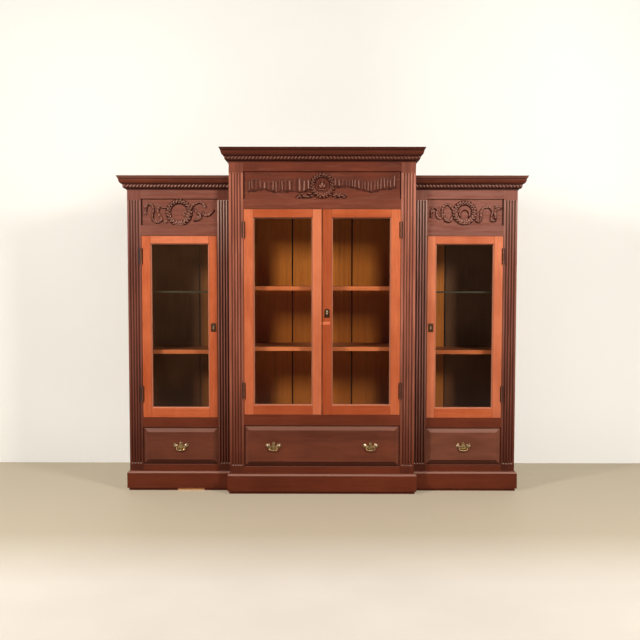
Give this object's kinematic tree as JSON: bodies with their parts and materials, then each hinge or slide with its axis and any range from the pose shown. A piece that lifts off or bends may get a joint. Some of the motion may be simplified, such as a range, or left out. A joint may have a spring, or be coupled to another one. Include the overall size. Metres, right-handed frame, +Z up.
{
  "type": "breakfront bookcase",
  "caption": "Carved wooden breakfront bookcase with a tall glazed centre, lower glazed wings, a drawer under each section, fluted pilasters, moulded cornices and bail pulls.",
  "frame": {"origin": "on the floor, under the middle of the overall box", "axes": "+X to the viewer's right along the width, -Y out of the front, +Z up"},
  "size_m": [1.986, 0.383, 1.669],
  "materials": {
    "carcass_wood": "satin varnish over red-brown stain",
    "door_wood": "satin varnish, lighter orange",
    "shelf_wood": "satin varnish",
    "interior_board": "thin clear varnish, uneven",
    "pane_glass": "clear",
    "shelf_glass": "clear with a green edge",
    "aged_brass": "aged, lightly polished",
    "dark_bronze": "dark patina"
  },
  "bodies": {
    "case": {"left_case_side": "carcass_wood", "right_case_side": "carcass_wood", "left_partition": "carcass_wood", "right_partition": "carcass_wood", "left_inner_pilaster": "carcass_wood", "right_inner_pilaster": "carcass_wood", "centre_left_pilaster": "carcass_wood", "centre_right_pilaster": "carcass_wood", "left_cornice": "carcass_wood", "centre_cornice": "carcass_wood", "right_cornice": "carcass_wood", "left_plinth": "carcass_wood", "centre_plinth": "carcass_wood", "right_plinth": "carcass_wood", "left_frieze": "carcass_wood", "centre_frieze": "carcass_wood", "right_frieze": "carcass_wood", "left_bottom_board": "carcass_wood", "centre_bottom_board": "carcass_wood", "right_bottom_board": "carcass_wood", "left_compartment_floor": "carcass_wood", "centre_compartment_floor": "carcass_wood", "right_compartment_floor": "carcass_wood", "back_boards": "interior_board", "centre_upper_shelf": "shelf_wood", "centre_lower_shelf": "shelf_wood", "left_wood_shelf": "shelf_wood", "right_wood_shelf": "shelf_wood", "left_glass_shelf": "shelf_glass", "right_glass_shelf": "shelf_glass", "centre_left_upper_hinge": "dark_bronze", "centre_left_lower_hinge": "dark_bronze", "centre_right_upper_hinge": "dark_bronze", "centre_right_lower_hinge": "dark_bronze", "left_upper_hinge": "dark_bronze", "left_lower_hinge": "dark_bronze", "right_upper_hinge": "dark_bronze", "right_lower_hinge": "dark_bronze"},
    "centre_left_door": {"centre_left_door": "door_wood", "centre_left_door_glass": "pane_glass"},
    "centre_right_door": {"centre_right_door": "door_wood", "centre_right_door_glass": "pane_glass", "centre_lock": "dark_bronze"},
    "left_door": {"left_door": "door_wood", "left_door_glass": "pane_glass", "left_lock": "dark_bronze"},
    "right_door": {"right_door": "door_wood", "right_door_glass": "pane_glass", "right_lock": "dark_bronze"},
    "left_drawer": {"left_drawer": "carcass_wood", "left_pull_plate": "aged_brass"},
    "centre_drawer": {"centre_drawer": "carcass_wood", "centre_left_pull_plate": "aged_brass", "centre_right_pull_plate": "aged_brass"},
    "right_drawer": {"right_drawer": "carcass_wood", "right_pull_plate": "aged_brass"},
    "left_bail": {"left_pull_bail": "aged_brass"},
    "centre_left_bail": {"centre_left_pull_bail": "aged_brass"},
    "centre_right_bail": {"centre_right_pull_bail": "aged_brass"},
    "right_bail": {"right_pull_bail": "aged_brass"}
  },
  "joints": [
    {"name": "centre_left_door_hinge", "type": "hinge", "parent": "case", "child": "centre_left_door", "pos_m": [-0.3773, -0.1531, 0.893], "axis": [0, 0, -1], "range_deg": [0, 170]},
    {"name": "centre_right_door_hinge", "type": "hinge", "parent": "case", "child": "centre_right_door", "pos_m": [0.3773, -0.1531, 0.893], "axis": [0, 0, 1], "range_deg": [0, 170]},
    {"name": "left_door_hinge", "type": "hinge", "parent": "case", "child": "left_door", "pos_m": [-0.8828, -0.0891, 0.8185], "axis": [0, 0, -1], "range_deg": [0, 170]},
    {"name": "right_door_hinge", "type": "hinge", "parent": "case", "child": "right_door", "pos_m": [0.8828, -0.0891, 0.8185], "axis": [0, 0, 1], "range_deg": [0, 170]},
    {"name": "left_drawer_slide", "type": "slide", "parent": "case", "child": "left_drawer", "axis": [0, -1, 0], "range_m": [0, 0.17]},
    {"name": "centre_drawer_slide", "type": "slide", "parent": "case", "child": "centre_drawer", "axis": [0, -1, 0], "range_m": [0, 0.23]},
    {"name": "right_drawer_slide", "type": "slide", "parent": "case", "child": "right_drawer", "axis": [0, -1, 0], "range_m": [0, 0.17]},
    {"name": "left_bail_swing", "type": "hinge", "parent": "left_drawer", "child": "left_bail", "pos_m": [-0.6975, -0.0932, 0.224], "axis": [-1, 0, 0], "range_deg": [0, 85]},
    {"name": "centre_left_bail_swing", "type": "hinge", "parent": "centre_drawer", "child": "centre_left_bail", "pos_m": [-0.236, -0.1572, 0.2375], "axis": [-1, 0, 0], "range_deg": [0, 85]},
    {"name": "centre_right_bail_swing", "type": "hinge", "parent": "centre_drawer", "child": "centre_right_bail", "pos_m": [0.236, -0.1572, 0.2375], "axis": [-1, 0, 0], "range_deg": [0, 85]},
    {"name": "right_bail_swing", "type": "hinge", "parent": "right_drawer", "child": "right_bail", "pos_m": [0.6975, -0.0932, 0.224], "axis": [-1, 0, 0], "range_deg": [0, 85]}
  ]
}
